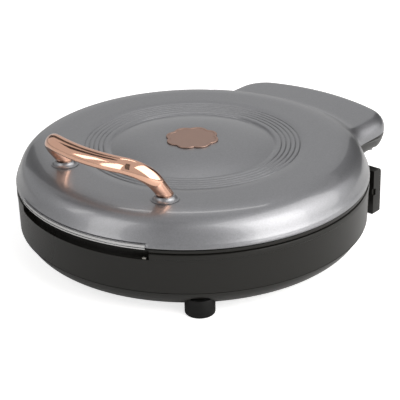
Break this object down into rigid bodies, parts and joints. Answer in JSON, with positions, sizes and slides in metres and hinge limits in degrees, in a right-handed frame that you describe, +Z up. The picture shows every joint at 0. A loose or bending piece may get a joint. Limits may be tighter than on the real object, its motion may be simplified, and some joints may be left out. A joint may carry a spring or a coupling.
{
  "type": "double-sided griddle",
  "caption": "Round countertop griddle with heated plates in a drum base and a domed lid that floats and tips up on a rear hinge.",
  "frame": {"origin": "on the table, below the middle of the outline", "axes": "+Z up, -Y the front with the handle, +Y the rear wing and hinge"},
  "size_m": [0.32, 0.375, 0.1327],
  "materials": {
    "lid_paint": "metallic grey paint, satin gloss",
    "black_plastic": "black moulded plastic, semi-gloss",
    "rubber_feet": "matt black",
    "rose_gold": "polished rose gold plating",
    "medallion_bronze": "satin bronze-coloured metal",
    "bright_trim": "bright plated strip",
    "non_stick": "die-cast with black non-stick coating",
    "reflector_sheet": "bright sheet",
    "steel": "zinc plated",
    "element_sheath": "heat-darkened sheath",
    "ceramic": "white, unglazed",
    "brass_pins": "plain brass",
    "lamp_lens": "clear lens"
  },
  "bodies": {
    "base": {"base_shell": "black_plastic", "base_ring": "black_plastic", "power_inlet": "black_plastic", "foot_1": "rubber_feet", "foot_2": "rubber_feet", "foot_3": "rubber_feet", "foot_4": "rubber_feet", "lower_plate": "non_stick", "lower_reflector": "reflector_sheet", "bottom_cover": "steel", "yoke_guide_left": "steel", "yoke_guide_right": "steel", "foot_screw_1": "steel", "foot_screw_2": "steel", "foot_screw_3": "steel", "foot_screw_4": "steel", "lower_reflector_screw_1": "steel", "lower_reflector_screw_2": "steel", "lower_reflector_screw_3": "steel", "lower_heating_element": "element_sheath", "lower_thermostat": "ceramic", "lower_thermal_fuse": "ceramic", "terminal_block": "ceramic", "inlet_pin_live": "brass_pins", "inlet_pin_earth": "brass_pins", "inlet_pin_neutral": "brass_pins", "indicator_lens": "lamp_lens"},
    "yoke": {"hinge_yoke": "steel", "hinge_pin_left": "steel", "hinge_pin_right": "steel"},
    "lid": {"lid_shell": "lid_paint", "handle_seat_left": "lid_paint", "handle_seat_right": "lid_paint", "upper_plate_ring": "black_plastic", "wing_cover": "black_plastic", "handle_bar": "rose_gold", "lid_medallion": "medallion_bronze", "lid_trim_strip": "bright_trim", "upper_plate": "non_stick", "upper_reflector": "reflector_sheet", "lid_hinge_bracket_left": "steel", "lid_hinge_bracket_right": "steel", "handle_screw_left": "steel", "handle_screw_right": "steel", "wing_cover_screw_left": "steel", "wing_cover_screw_right": "steel", "upper_reflector_screw_1": "steel", "upper_reflector_screw_2": "steel", "upper_reflector_screw_3": "steel", "upper_heating_element": "element_sheath", "upper_thermostat": "ceramic", "upper_thermal_fuse": "ceramic"}
  },
  "joints": [
    {"name": "lid_float", "type": "slide", "parent": "base", "child": "yoke", "axis": [0, 0, 1], "range_m": [0, 0.006]},
    {"name": "lid_hinge", "type": "hinge", "parent": "yoke", "child": "lid", "pos_m": [0, 0.1525, 0.0555], "axis": [-1, 0, 0], "range_deg": [0, 100]}
  ]
}
